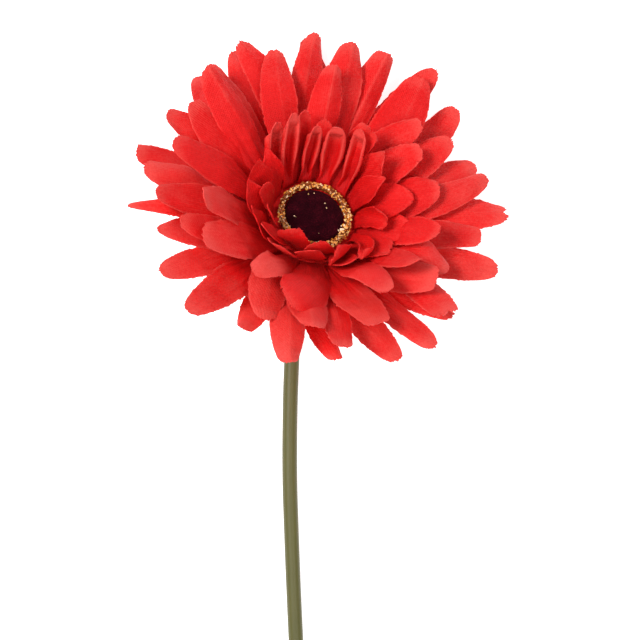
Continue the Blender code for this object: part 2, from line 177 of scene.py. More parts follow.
LAYERS = [
    Layer("petal_layer_1", 0, 15.6, 16.0, 5.7, -20.0, 0.0, 83.0, [
        Petal(90, 12, 60.5, "round", width=0.95, rub=0.2),
        Petal(102, 3, 58.5, "round", width=0.95),
        Petal(120, -5, 61.5, "round", width=0.92),
        Petal(166, 13, 58.5, "blunt", width=0.85),
        Petal(177, 11, 58, "point", width=0.46, roll=-25, skew=6.0, curl=-40, rub=0.2),
        Petal(207.5, 13, 57.5, "round", width=0.91, cup=8, curl=-25, rub=0.3),
        Petal(239.5, 12, 50, "round", width=0.80, rub=0.5),
        Petal(274.5, 12, 51, "round", width=0.72, skew=-0.8, rub=0.1),
        Petal(295, 12, 54.5, "round", width=0.92, skew=-1.5, rub=0.45),
        Petal(323, 11, 51.5, "frayed", width=0.88, rub=0.2),
        Petal(343.5, 10, 58.5, "round", rub=0.38),
        Petal(1, 13, 60.5, "notched", width=1.12, rub=0.18),
        Petal(40.5, 9, 62, "round", width=0.98, rub=0.1),
        Petal(51, 17, 63.5, "round", width=0.9),
    ]),
    Layer("petal_layer_2", 1, 15.1, 26.0, 5.7, -18.0, 0.0, 95.0, [
        Petal(88, 14, 61, "round", width=0.95, fold=0.9),
        Petal(111, 6, 60, "round", width=0.93, rub=-0.1),
        Petal(150.5, 17, 55.5, "round", width=0.98),
        Petal(171, 14, 55.5, "round", rub=0.25),
        Petal(194, 15, 53.5, "point", width=0.92, rub=0.2),
        Petal(223, 15, 60, "round", width=1.02, rub=0.3),
        Petal(257.5, 19, 61.5, "round", width=1.02, fold=1.0, skew=-1.8, rub=0.5),
        Petal(271.5, 24, 56.5, "blunt", width=0.82, rub=0.1),
        Petal(306, 16, 58, "round", width=0.85, skew=-2.0, rub=0.3),
        Petal(312.5, 22, 55, "frayed", width=0.92, rub=0.2),
        Petal(352, 15, 52, "blunt", width=0.93),
        Petal(20.5, 12, 55.5, "round", rub=0.2),
        Petal(53, 20, 58, "round", width=1.3, fold=0.9, rub=-0.3),
        Petal(66.5, 21, 59, "blunt", width=0.96, fold=1.6),
    ]),
    Layer("petal_layer_3", 2, 14.6, 36.0, 5.6, -16.0, 0.0, 78.0, [
        Petal(78, 22, 58, "round", width=1.12, fold=0.9),
        Petal(112, 13, 60.5, "round", width=0.94, rub=-0.15),
        Petal(127, 17, 57, "round"),
        Petal(144, 23, 52.5, "round", width=0.98, cup=10),
        Petal(182, 18, 53.5, "round", width=0.95),
        Petal(195, 23, 50, "round", width=0.95),
        Petal(245, 19, 47.5, "round", width=1.1, rub=0.5),
        Petal(261, 27, 53.5, "round", width=1.15, fold=1.2, rub=0.2),
        Petal(287, 26, 50, "blunt", width=1.2, rub=0.38),
        Petal(320, 28, 47, "blunt", width=1.1, rub=0.35),
        Petal(332, 19, 45, "round", curl=-45, rub=0.3),
        Petal(13, 17, 56, "round", width=0.86, rub=0.2),
        Petal(30, 20, 51, "round"),
        Petal(40, 28, 46, "round", width=0.95),
    ]),
    Layer("petal_layer_4", 3, 14.1, 46.0, 5.5, -14.0, 0.0, 87.0, [
        Petal(85, 33, 49, "round", width=0.95, fold=1.5, rub=-0.1),
        Petal(102.5, 17, 55, "round", width=1.05, fold=0.8, rub=-0.15),
        Petal(133, 25, 57, "round", width=1.12, fold=1.0, rub=-0.25),
        Petal(165, 25, 53, "round", rub=-0.2),
        Petal(192, 35, 48.5, "blunt", width=0.95, rub=0.3),
        Petal(205, 28, 48, "blunt", width=1.12, cup=8, rub=0.2),
        Petal(229, 30, 43, "round", width=0.85, curl=-45, fold=0.6, rub=0.75),
        Petal(248, 30, 46.5, "round", width=1.6, curl=-30, cup=-30, rub=-0.4),
        Petal(294, 34, 45, "round", width=1.05, curl=-50, rub=0.1),
        Petal(315, 38, 44, "round", width=0.95),
        Petal(341, 33, 42, "round", width=0.95, rub=-0.2),
        Petal(10, 26, 41, "round", width=1.15, rub=-0.2),
        Petal(29, 31, 41, "round"),
        Petal(60, 47, 36, "round", width=0.6),
    ]),
    Layer("petal_layer_5", 4, 13.4, 58.0, 3.7, 14.0, 2.6, 112.0, [
        Petal(102, 42, 35.5, "round", rub=0.2),
        Petal(123, 41, 34.5, "spoon", width=1.05),
        Petal(159, 47, 32.5, "sharp", roll=-60, cup=15, width=1.1, rub=0.1),
        Petal(176, 43, 33, "sharp", roll=-65, cup=10, width=1.2, rub=0.1),
        Petal(194, 40, 31, "sharp", roll=-40, width=1.1),
        Petal(225, 37, 30, "lip", width=1.3, cup=20, rub=0.35),
        Petal(249, 44, 29.5, "lip", width=1.1, rub=0.3),
        Petal(283, 40, 30, "lip", width=1.1, rub=0.3),
        Petal(325, 32, 29.5, "lip", width=1.3, rub=0.2),
        Petal(346, 29, 32.5, "point", width=1.5, rub=0.25),
        Petal(5, 31, 33, "point", width=1.5, rub=0.25),
        Petal(37, 48, 33.5, "sharp", width=1.25, cup=10, rub=0.5),
        Petal(52, 47, 35, "lip", width=0.75, rub=0.3),
        Petal(87, 40, 32.5, "round", rub=0.2),
    ]),
    Layer("petal_layer_6", 5, 12.4, 70.0, 3.4, 14.0, 2.4, 99.0, [
        Petal(97.5, 51, 32.5, "spoon", width=0.74),
        Petal(111.5, 46, 36, "spoon", width=0.95),
        Petal(143, 45, 31.5, "sharp", roll=-55, cup=15, rub=0.1),
        Petal(176, 46, 27.5, "lip", roll=-45, width=0.9),
        Petal(198, 46, 26.5, "lip", width=0.8),
        Petal(208, 38, 28, "lip", roll=-20),
        Petal(226, 48, 25.5, "lip", width=1.3, cup=20, curl=-25, rub=0.2),
        Petal(255, 49, 26, "lip", width=1.2, cup=-4, rub=0.3),
        Petal(275, 44, 27, "lip", width=1.2, cup=15, rub=0.3),
        Petal(300, 38, 27.5, "lip", width=0.9, cup=50, roll=-45, rub=0.3),
        Petal(342, 42, 26.5, "lip", width=1.1, cup=45, roll=25, rub=0.1),
        Petal(19, 48, 29, "sharp", width=1.2, cup=25, rub=0.2),
        Petal(62.5, 52, 34.5, "spoon", width=0.78),
        Petal(80, 52, 32.5, "spoon", width=0.92),
    ]),
]
ROWS, COLUMNS = 56, 28  # cells along and across a petal
RISE_OVER = 26.0  # the most that a petal starts out steeper than its chord
OUTER_HALF_WIDTH = 5.7  # the relief below is meant for a petal of this half width, and scales with it
CREASES = (-0.68, -0.36, -0.04, 0.30, 0.62)  # where the broad pressed grooves run across a petal
CREASE_WIDTH = 0.12
CREASE_SHADE = 1.2  # painted shade in the grooves: how much darker a place is painted for each mm of a groove's depth
RIM_START, RIM_FULL = 0.40, 0.78  # where a spoon's wall begins across it, and where its rim is
RIM_DROP = 0.6  # how far a spoon's edge is turned down beyond its rim
FRAY = 0.19  # how far the cut edges stray
FRAY_FROM = 4  # the first row of cells whose sides fray

# The painted light on the cloth, from painted highlight (up to 1) to painted shade (down to -1): what each
# cause adds. The patchy part alone is the cloth's own uneven tone.
EDGE_HIGHLIGHT = 0.7
LENGTHWISE_LIGHT = 0.5
FOLD_HIGHLIGHT = 0.35
SPOON_RIM_HIGHLIGHT = 1.5
PATCHY_RUB = 0.30
FOOT_SHADE = 0.7
INNER_SHADE = 0.50
SPOON_SHADE = 0.15

# --- The cloth's looks -------------------------------------------------------------------------------

MAP_UNIT = 100.0  # one unit of the sheets' flat maps
WEAVE_STEP = 0.62  # one rib of the weave and its gap
RED_DARK, RED_LIGHT = (0.71, 0.0010, 0.0015), (0.77, 0.0030, 0.0030)  # the dyed cloth's patches
RED_THREAD = (0.83, 0.018, 0.018)
# the painted highlight's colour
RED_HIGHLIGHT = (0.86, 0.079, 0.065)
# the painted shade's colour
RED_SHADE = (0.50, 0.0, 0.001)

# --- The studio: places and sizes in metres, power in watts ------------------------------------------

LAMPS = [
    ("key", (-0.58, 0.40, 1.12), 0.40, 13.3),
    ("fill", (0.50, -0.20, 1.25), 0.8, 6.0),
]
LAMPS_AIM = Vector((0.0, 0.15, 0.02))
SKY_STRENGTH = 0.36
TABLE_GLOW = 0.80
TABLE_HALF = 3.0
LENS = 182.8
CAMERA_PLACE = Vector((HEAD_CENTRE.x + 3.31, HEAD_CENTRE.y - 28.3, 1000.0)) * MM


# --- Small helpers -----------------------------------------------------------------------------------


def smooth(low, high, value):
    """0 below low, 1 above high, and an even S between them."""
    t = np.clip((value - low) / (high - low), 0.0, 1.0)
    return t * t * (3 - 2 * t)


def polar(bearing, lift, distance=1.0):
    """The point at a bearing about the axis, an angle above the layer and a distance."""
    turn, rise = math.radians(bearing), math.radians(lift)
    ahead = [math.cos(rise) * math.cos(turn), math.cos(rise) * math.sin(turn), math.sin(rise)]
    return distance * np.array(ahead)


def round_axis(radius, turn, height):
    """The point at a distance from the axis, a turn about it in radians and a height."""
    return radius * math.cos(turn), radius * math.sin(turn), height


def turns_of(count):
    """That many even turns about an axis, in radians."""
    return [2 * math.pi * k / count for k in range(count)]


def unit(vectors):
    """The vectors at a length of 1."""
    return vectors / np.linalg.norm(vectors, axis=-1, keepdims=True)


def head_matrix():
    """From the upright head, in millimetres, to where it lies, in metres."""
    bearing = math.radians(HEAD_BEARING)
    lean = Matrix.Rotation(math.radians(HEAD_TILT), 4, Vector((-math.sin(bearing), math.cos(bearing), 0.0)))
    return Matrix.Translation(HEAD_CENTRE * MM) @ lean @ Matrix.Scale(MM, 4)


def add_piece(name, points, faces, matrix=None, maps=None, marks=None):
    """A mesh object from points and faces, with named flat maps and named per-point numbers."""
    mesh = bpy.data.meshes.new(name)
    mesh.from_pydata([tuple(p) for p in points], [], faces)
    for kind, places in (maps or {}).items():
        corners = np.empty(len(mesh.loops), int)
        mesh.loops.foreach_get("vertex_index", corners)
        mesh.uv_layers.new(name=kind).data.foreach_set("uv", np.asarray(places, np.float32)[corners].ravel())
    for mark, values in (marks or {}).items():
        mesh.attributes.new(mark, "FLOAT", "POINT").data.foreach_set("value", np.asarray(values, np.float32))
    if matrix is not None:
        mesh.transform(matrix)
    mesh.shade_smooth()
    piece = bpy.data.objects.new(name, mesh)
    bpy.context.scene.collection.objects.link(piece)
    return piece


def applied(piece, sharp=40.0):
    """The piece with its modifiers applied and its corners over an angle kept sharp."""
    mesh = bpy.data.meshes.new_from_object(piece.evaluated_get(bpy.context.evaluated_depsgraph_get()))
    piece.modifiers.clear()
    piece.data = mesh
    mesh.shade_smooth()
    mesh.set_sharp_from_angle(angle=math.radians(sharp))
    return piece


def noise_field(points, scale, seed):
    """Smooth noise of about -1 to 1 at each point."""
    shift = Vector((17.3 * seed, -9.1 * seed, 4.7 * seed))
    flat = points.reshape(-1, 3)
    values = [noise.noise(Vector(p) * scale + shift) for p in flat]
    return np.array(values).reshape(points.shape[:-1])


# --- Petals ------------------------------------------------------------------------------------------


def outline_width(rows, tip):
    """Half the petal's width along it, as a share of its greatest."""
    widest, foot = 0.58, 0.44
    rising = foot + (1 - foot) * smooth(0.0, widest, rows)
    falling = 1 - (1 - tip.width) * np.clip((rows - widest) / (1 - widest), 0, 1) ** 1.9
    return np.minimum(rising, falling)


def tip_end(across, tip):
    """How far along the petal its outline ends, at each place across it."""
    arc = (1 - np.clip(np.abs(across), 0, 1) ** tip.square) ** (1 / tip.square)
    notch = tip.notch * np.exp(-(((across - 0.2) / 0.2) ** 2))
    return 1 - tip.depth * (1 - arc) - notch


def handled(points, s, size, seed):
    """The soft unevenness that handling has left all over a petal, fading out at its foot."""
    relief = 0.8 * size * noise_field(points, 0.075, seed) * smooth(0.1, 0.5, s)
    relief += 0.34 * size * noise_field(points, 0.19, seed + 3) * smooth(0.05, 0.4, s)
    relief += 0.08 * noise_field(points, 0.55, seed + 5) * smooth(0.05, 0.3, s)
    return relief


def painted_light_and_patches(points, s, across, layer, petal, seed):
    """Each place's painted light, apart from grooves, folds and rims: painted highlight on the edges and
    towards the tip, painted shade at the foot and on the inner layers, each petal's own painted light, and
    the cloth's patchy tone.
    """
    edge = smooth(0.86, 1.0, np.maximum(np.abs(across), s / s.max(axis=0)))
    # painted highlight on the edges, painted shade at the foot
    press = EDGE_HIGHLIGHT * edge * smooth(0.2, 0.6, s) - FOOT_SHADE * (1 - smooth(0.0, 0.6, s))
    # lighter towards the tip and darker towards the foot: painted light
    press += LENGTHWISE_LIGHT * (s - 0.5)
    # each petal's own painted light, and the cloth's own patchy tone
    press += petal.rub * smooth(0.1, 0.6, s) + PATCHY_RUB * noise_field(points, 0.16, seed + 7)
    if layer.groove:  # painted shade: the inner layers lie low in the head, darker at their edges, and only their upper parts catch the light
        depth = SPOON_SHADE if petal.tip == "spoon" else INNER_SHADE
        press -= depth + 0.5 * edge - 0.25 * smooth(0.6, 1.0, s)
    return press


def creases(s, across, size, rng):
    """The depth of the broad grooves pressed along a petal, each winding a little and ending on its own."""
    depths = np.zeros_like(s)
    for place in CREASES:
        depth = max(0.0, rng.uniform(-0.10, 0.34)) * size
        ends = rng.uniform(0.45, 0.85)
        shift = place + rng.uniform(-0.10, 0.10) + 0.06 * np.sin(rng.uniform(2, 5) * s + rng.uniform(0, 6.28))
        wide = CREASE_WIDTH * rng.uniform(0.8, 1.3)
        along = smooth(0.0, 0.12, s) * (1 - 0.85 * smooth(ends - 0.4, ends, s))
        depths += depth * along * np.exp(-(((across - shift) / wide) ** 2))
    return depths


def pressed_relief(points, s, across, layer, petal, seed, rng):
    """How far a petal's surface stands off its smooth arc, as pressing and handling have left it, and the
    painted light at each place: painted highlight up to 1, painted shade down to -1."""
    size = layer.half_width / OUTER_HALF_WIDTH
    spoon = petal.tip == "spoon"
    relief = handled(points, s, size, seed)
    press = painted_light_and_patches(points, s, across, layer, petal, seed)

    grooves = creases(s, across, size, rng) * (0.3 if spoon else 1.0)
    relief -= grooves
    # painted shade in the grooves
    press -= CREASE_SHADE * grooves

    fold = petal.fold + rng.uniform(-0.6, 0.6) * size
    crest = rng.uniform(-0.15, 0.15)
    relief += fold * (0.5 - np.sqrt((across - crest) ** 2 + 0.006)) * smooth(0.05, 0.35, s)
    ridge = np.exp(-(((across - crest) / 0.08) ** 2))
    # painted highlight along the fold's crest
    press += FOLD_HIGHLIGHT * max(0.0, petal.fold) * ridge * smooth(0.1, 0.4, s)

    # The sides wave.
    wave, turns = rng.uniform(0.2, 0.6) * size, rng.uniform(1.0, 2.2)
    phase = np.where(across < 0, rng.uniform(0, 6.28), rng.uniform(0, 6.28))
    relief += wave * np.abs(across) ** 3 * np.sin(2 * math.pi * turns * s + phase) * smooth(0.15, 0.5, s)

    if spoon:
        rim = np.maximum(smooth(RIM_START, RIM_FULL, np.abs(across)), smooth(0.76, 0.91, s))
        turned_down = RIM_DROP * smooth(RIM_FULL, 1.1, np.abs(across)) * smooth(0.1, 0.3, s)
        relief += layer.groove * (rim - 1) * smooth(0.04, 0.25, s) - turned_down
        to_rim = np.maximum(np.abs(across) / 0.80, s / 0.90)
        # painted highlight round a spoon's rim
        press += (SPOON_RIM_HIGHLIGHT * np.exp(-(((to_rim - 1) / 0.17) ** 2)) - 0.05) * smooth(0.05, 0.4, s)
    return relief, np.clip(press, -1, 1)


def midrib(layer, petal, foot_bearing, s):
    """A petal's midrib, a curve from its foot to its tip as in the frame: places, directions ahead and to the
    side, and the length of its chord."""
    t, u = (1 - s)[..., None], s[..., None]
    foot = polar(foot_bearing, 0.0, layer.hub_radius) + np.array([0, 0, layer.step * LAYER_PITCH])
    end = polar(petal.bearing, petal.lift, petal.reach)
    chord = end - foot
    length = float(np.linalg.norm(chord))
    chord_lift = math.degrees(math.asin(chord[2] / length))
    chord_bearing = math.degrees(math.atan2(chord[1], chord[0]))
    swing = (chord_bearing - foot_bearing + 180) % 360 - 180
    rise = min(layer.rise, chord_lift + RISE_OVER)
    first = foot + polar(foot_bearing, rise, length / 3)
    last = end - polar(chord_bearing + swing, 2 * chord_lift - rise, length / 3)
    middle = t**3 * foot + 3 * t * t * u * first + 3 * t * u * u * last + u**3 * end
    ahead = unit(t * t * (first - foot) + 2 * t * u * (last - first) + u * u * (end - last))
    if layer.groove:  # so upright that they keep the side direction of their feet
        foot_side = polar(foot_bearing + 90, 0.0)
        side = unit(foot_side - ahead * (ahead @ foot_side)[..., None])
    else:
        side = unit(np.cross([0.0, 0.0, 1.0], ahead))
    return middle, ahead, side, length


def curled(middle, ahead, up, curl, s):
    """The midrib with its end curled up, eased back so that the tip stays in place."""
    bend = (curl * smooth(0.45, 1.0, s))[..., None]
    steps = np.diff(middle, axis=0)
    stride = np.linalg.norm(steps, axis=-1, keepdims=True)
    turned = np.cos(bend) * ahead + np.sin(bend) * up
    walked = middle[:1] + np.concatenate([np.zeros_like(steps[:1]), np.cumsum(stride * turned[1:], axis=0)])
    centre = (COLUMNS + 1) // 2
    eased = walked + s[..., None] ** 1.5 * (middle[-1, centre] - walked[-1, centre])
    return eased, turned, np.cos(bend) * up - np.sin(bend) * ahead


def fray(points, ahead, side, petal, rng):
    """Roughen a petal's cut edges: its sides, and then its end."""
    rough = rng.uniform(0.7, 1.3) * FRAY
    for i in range(FRAY_FROM, ROWS + 1):
        for k, way in ((0, -1), (COLUMNS, 1)):
            points[i, k] += way * side[i, k] * rng.gauss(0, rough) * 0.7
    for k in range(1, COLUMNS):
        points[ROWS, k] += ahead[ROWS, k] * rng.gauss(0, rough) * (2.2 if petal.tip == "frayed" else 1.0)


def petal_surface(layer, petal, foot_bearing, foot_half, seed):
    """One petal's middle surface, in rows from its foot on the hub to its tip. For each point: its place, its
    places on the flat cut and on the lengthwise map, how far along the petal it is, and its painted light
    with the cloth's patchy tone."""
    rng = random.Random(seed)
    tip = TIPS[petal.tip]
    wide = layer.half_width * petal.width * rng.uniform(0.96, 1.05)
    cup = math.radians(layer.cup + petal.cup + rng.uniform(-7, 7))
    roll = math.radians(petal.roll + rng.uniform(-7, 7))
    curl = math.radians(petal.curl + rng.uniform(-12, 8))

    rows = np.linspace(0, 1, ROWS + 1)[:, None] ** 0.95
    even = np.linspace(-1, 1, COLUMNS + 1)
    across = (0.55 * even + 0.45 * np.sin(even * math.pi / 2))[None, :]
    s = rows - rows**5 * (1 - tip_end(across, tip))
    s[0] = 0.0

    middle, ahead, side, length = midrib(layer, petal, foot_bearing, s)
    up = np.cross(ahead, side)
    middle, ahead, up = curled(middle, ahead, up, curl, s)
    turn = (roll * s**0.7)[..., None]
    side, up = np.cos(turn) * side + np.sin(turn) * up, np.cos(turn) * up - np.sin(turn) * side

    # Across: an arc, then the relief along the surface's normal.
    half = np.maximum(wide * outline_width(rows, tip), foot_half * (1 - rows))
    arc = cup * np.minimum(1.0, 2.5 * s) + 1e-6
    angle = arc * across
    out = half * np.sin(angle) / arc + petal.skew * s**2
    rise = half * (1 - np.cos(angle)) / arc
    normal = np.cos(angle)[..., None] * up - np.sin(angle)[..., None] * side
    points = middle + out[..., None] * side + rise[..., None] * up
    relief, press = pressed_relief(points, s, across, layer, petal, seed, rng)
    points = points + relief[..., None] * normal
    fray(points, ahead, side, petal, rng)

    radius = layer.hub_radius + s * length * 1.04  # the midrib is that much longer than its chord
    aim = math.radians(foot_bearing)
    beside = half * across
    flat_x = radius * math.cos(aim) - beside * math.sin(aim)
    flat_y = radius * math.sin(aim) + beside * math.cos(aim)
    flat = np.stack([flat_x, flat_y], -1)
    lengthwise = np.stack([beside + 20 * seed, s * length], -1)
    return points, flat, lengthwise, s, press


def layer_mesh(layer):
    """One die-cut layer's middle surface, a flat hub with a punched hole and its petals: the piece, and its
    flat cut as points and faces."""
    count = len(layer.petals)
    share = 360 / count * CLAW_SHARE
    foot_half = layer.hub_radius * math.radians(share) / 2
    height = layer.step * LAYER_PITCH
    points, flats, lengthwise, along, press, faces = [], [], [], [], [], []
    inner, hub_middle, outer = [], [], []

    def corner(point, flat, ribs, place, rub):
        points.append(point)
        flats.append(flat)
        lengthwise.append(ribs)
        along.append(place)
        press.append(rub)
        return len(points) - 1

    def on_hub(radius, bearing):
        place = polar(bearing, 0.0, radius) + np.array([0, 0, height])
        return corner(place, place[:2], (bearing, radius), 0.0, 0.0)

    for i, petal in enumerate(layer.petals):
        foot_bearing = layer.first + i * 360 / count
        grids = petal_surface(layer, petal, foot_bearing, foot_half, SEED + 100 * layer.step + i)
        below = []
        for k in range(COLUMNS + 1):
            bearing = foot_bearing + share * (k / COLUMNS - 0.5)
            below.append(on_hub(layer.hub_radius, bearing))
            hub_middle.append(on_hub(0.55 * layer.hub_radius, bearing))
            inner.append(on_hub(PIN_HOLE, bearing))
        outer += below
        for r in range(1, ROWS + 1):
            above = [corner(*(grid[r, k] for grid in grids)) for k in range(COLUMNS + 1)]
            for k in range(COLUMNS):
                faces.append((below[k], below[k + 1], above[k + 1], above[k]))
            below = above
    for ring, wider in ((inner, hub_middle), (hub_middle, outer)):
        for k in range(len(outer)):
            after = (k + 1) % len(outer)
            faces.append((ring[k], ring[after], wider[after], wider[k]))

    maps = {"flat": np.array(flats) / MAP_UNIT, "ribs": np.array(lengthwise) / MAP_UNIT}
    # press: the painted highlight and painted shade, with the cloth's patchy tone
    marks = {"along": along, "press": press}
    name = layer.name.replace("layer", "cloth")
    piece = add_piece(name, points, [f[::-1] for f in faces], head_matrix(), maps, marks)
    return piece, np.array(flats), np.array(faces)


def petal_layer(layer, cloth):
    """One layer, thickened to the cloth, with its lowest tips on the surface."""
    piece, flat, faces = layer_mesh(layer)
    for vert in piece.data.vertices:  # the lowest tips lie on the surface
        vert.co.z = max(vert.co.z, FABRIC * MM / 2)
    shell = piece.modifiers.new("cloth", "SOLIDIFY")
    shell.thickness = FABRIC * MM
    shell.offset = 0.0
    applied(piece)
    piece.data.materials.append(cloth)
    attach(piece, "root")
    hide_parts(layer.name)
    return piece


# --- The centre --------------------------------------------------------------------------------------


def centre_pad(mat):
    """The flocked button: a dome whose pile makes it uneven all over, hollowed below for the pin's head."""
    rings, around = 70, 260
    points, faces = [], []
    radii = PAD_SHARE * np.array([r for r, _ in PAD_PROFILE])
    heights = np.array([h for _, h in PAD_PROFILE])
    track = np.concatenate([[0], np.cumsum(np.hypot(np.diff(radii), np.diff(heights)))])
    for i in range(1, rings + 1):
        at = track[-1] * i / rings
        r, h = np.interp(at, track, radii), np.interp(at, track, heights)
        for turn in turns_of(around):
            place = Vector(round_axis(r, turn, h))
            pile = 0.16 * noise.noise(place * 2.6) + 0.10 * noise.noise(place * 6.0)
            lift = (pile - 0.1) * min(1.0, (rings - i) / 3)
            points.append((place.x, place.y, place.z + CENTRE_UNDER + lift))
    hollow, roof = PAD_RECESS
    for h in (PAD_RIM, roof):
        points += [round_axis(hollow, turn, CENTRE_UNDER + h) for turn in turns_of(around)]
    last = (rings + 1) * around
    for a in range(0, last, around):
        b = a + around
        for k in range(around):
            after = (k + 1) % around
            faces.append((a + k, b + k, b + after, a + after))
    top, bottom = len(points), len(points) + 1
    points += [(0.0, 0.0, CENTRE_UNDER + PAD_TOP), (0.0, 0.0, CENTRE_UNDER + roof)]
    for k in range(around):
        after = (k + 1) % around
        faces.append((top, k, after))
        faces.append((bottom, last + after, last + k))
    piece = add_piece("flocked_pad", points, faces, head_matrix())
    piece.data.materials.append(mat)
    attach(piece, "root")
    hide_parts("centre_pad")
    return piece


def crumb(bm, place, size, rng, shade, tone):
    """One angular crumb, squashed and turned at random, its shade (0 dark to 1 pale) in the tone layer."""
    made = bmesh.ops.create_icosphere(bm, subdivisions=1, radius=size)["verts"]
    turn = rng.uniform(0, 6.28)
    spin = Matrix.Rotation(turn, 4, Vector((rng.gauss(0, 1), rng.gauss(0, 1), rng.gauss(0, 1))))
    stretch = Vector((rng.uniform(0.7, 1.35), rng.uniform(0.7, 1.2), rng.uniform(0.6, 1.1)))
    for vert in made:
        jitter = rng.uniform(0.72, 1.22)
        co = Vector(a * b for a, b in zip(vert.co, stretch)) * jitter
        vert.co = Vector(place) + spin @ co
        vert[tone] = shade


def pollen_shade_bed(bm, tone, level):
    """The dark bed under the crumbs: a plain ring, painted dark as the shade in the gaps between them."""
    sides, around = 12, 120
    rings = []
    for turn in turns_of(around):
        ring = []
        for tilt in turns_of(sides):
            r = POLLEN_MIDDLE + POLLEN_RADIUS * 0.80 * math.cos(tilt)
            vert = bm.verts.new(round_axis(r, turn, level + POLLEN_RADIUS * 0.95 * math.sin(tilt)))
            # the darkest tone: painted shade in the gaps between the crumbs
            vert[tone] = 0.0
            ring.append(vert)
        rings.append(ring)
    for a, b in zip(rings, rings[1:] + rings[:1]):
        for j in range(sides):
            after = (j + 1) % sides
            bm.faces.new((a[j], b[j], b[after], a[after]))


def pollen(mat):
    """The ring of crumbs: a dark bed painted as the shade between them, with angular crumbs stuck on it
    unevenly, and a few strays on the button.
    """
    rng = random.Random(SEED)
    bm = bmesh.new()
    tone = bm.verts.layers.float.new("tone")
    level = CENTRE_UNDER + POLLEN_LIFT
    pollen_shade_bed(bm, tone, level)
    for _ in range(CRUMBS):
        turn, tilt = rng.uniform(0, 2 * math.pi), math.radians(rng.gauss(85, 60))
        lumps = noise.noise(Vector((4 * math.cos(turn), 4 * math.sin(turn), 2 * tilt)))
        uneven = 0.16 * math.cos(turn + 0.8) + 0.3 * lumps
        reach = POLLEN_RADIUS * (rng.uniform(0.70, 1.05) + uneven)
        r = POLLEN_MIDDLE + reach * math.cos(tilt)
        place = round_axis(r, turn, level + 1.15 * reach * math.sin(tilt))
        crumb(bm, place, 0.15 + 0.33 * rng.random() ** 2, rng, rng.random() ** 0.8, tone)
    for _ in range(SPECKS):
        turn, r = rng.uniform(0, 2 * math.pi), PAD_RADIUS * math.sqrt(rng.uniform(0.05, 0.8))
        place = round_axis(r, turn, CENTRE_UNDER + PAD_TOP + 0.15 - 0.012 * r * r)
        crumb(bm, place, rng.uniform(0.12, 0.24), rng, rng.uniform(0.8, 1.0), tone)
    for turn, r, size in BEADS:
        crumb(bm, round_axis(r, turn, level + POLLEN_RADIUS * 0.8), size, rng, 1.0, tone)
    bmesh.ops.recalc_face_normals(bm, faces=bm.faces)
    mesh = bpy.data.meshes.new("pollen_crumbs")
    bm.to_mesh(mesh)
    bm.free()
    mesh.transform(head_matrix())
    piece = bpy.data.objects.new("pollen_crumbs", mesh)
    bpy.context.scene.collection.objects.link(piece)
    mesh.materials.append(mat)
    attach(piece, "root")
    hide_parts("pollen_ring")
    return piece


# --- The stem and the calyx --------------------------------------------------------------------------


def through(points, steps):
    """Points on a smooth curve through the given ones (Catmull-Rom), with that many steps between two."""
    ends = [2 * points[0] - points[1], *points, 2 * points[-1] - points[-2]]
    found = []
    for a, b, c, d in zip(ends, ends[1:], ends[2:], ends[3:]):
        for i in range(steps):
            t = i / steps
            curve = 2 * b + (c - a) * t + (2 * a - 5 * b + 4 * c - d) * t**2 + (3 * b - a - 3 * c + d) * t**3
            found.append(0.5 * curve)
    return [*found, points[-1]]


def stem_radius(y):
    """The stem's radius, thickening evenly from the cut end to the neck; y is from the head's centre."""
    low, high = STEM_RADIUS
    cut_end = STEM_ROUTE[0][1]
    return low + (high - low) * (y - cut_end) / -cut_end


def stem_line():
    """Points along the stem's middle, from its cut end up into the calyx."""
    bearing, lean = math.radians(HEAD_BEARING), math.radians(HEAD_TILT)
    axis = Vector((math.sin(lean) * math.cos(bearing), math.sin(lean) * math.sin(bearing), math.cos(lean)))
    laid = []
    for x, y, lift in STEM_ROUTE:
        laid.append(Vector((HEAD_CENTRE.x + x, HEAD_CENTRE.y + y, stem_radius(y) + lift)))
    return through([*laid, HEAD_CENTRE + axis * CALYX_BOTTOM, HEAD_CENTRE + axis * STEM_SEAT], STEM_STEPS)


def sleeve_radius(turn, y):
    """The sleeve's radius at a turn about the stem and at y, with its mould seam and unevenness."""
    where, wide, high = MOULD_SEAM
    seam = high * math.exp(-(((turn - where) / wide) ** 2))
    uneven = 0.035 * noise.noise(Vector((math.cos(turn), math.sin(turn), y * 0.06)))
    return stem_radius(y - HEAD_CENTRE.y) - STEM_SKIN + seam + uneven


def stem(mat):
    """The sleeve: a round tube with its bore, a faint mould seam and a slightly uneven surface."""
    line = stem_line()
    around = STEM_SIDES
    points, faces = [], []
    across = Vector((1.0, 0.0, 0.0))
    for i, place in enumerate(line):
        ahead = (line[min(i + 1, len(line) - 1)] - line[max(i - 1, 0)]).normalized()
        across = (across - ahead * across.dot(ahead)).normalized()
        over = across.cross(ahead)
        outside = [(sleeve_radius(turn, place.y), turn) for turn in turns_of(around)]
        bore = [(WIRE_HOLE, turn) for turn in turns_of(around)]
        for r, turn in outside + bore:
            points.append(place + across * (r * math.cos(turn)) + over * (r * math.sin(turn)))
    ring = 2 * around  # the points at one place: the outside's, then the bore's
    end = (len(line) - 1) * ring
    for a in range(0, end, ring):
        b, bore = a + ring, a + around
        for k in range(around):
            after = (k + 1) % around
            faces.append((b + k, b + after, a + after, a + k))
            faces.append((bore + ring + after, bore + ring + k, bore + k, bore + after))
    for a in (0, end):
        for k in range(around):
            after = (k + 1) % around
            cap = (a + k, a + around + k, a + around + after, a + after)
            faces.append(cap if a else cap[::-1])
    piece = add_piece("stem_tube", points, faces, Matrix.Scale(MM, 4))
    piece.data.set_sharp_from_angle(angle=math.radians(50))
    piece.data.materials.append(mat)
    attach(piece, "root")
    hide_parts("stem_sleeve")
    return piece


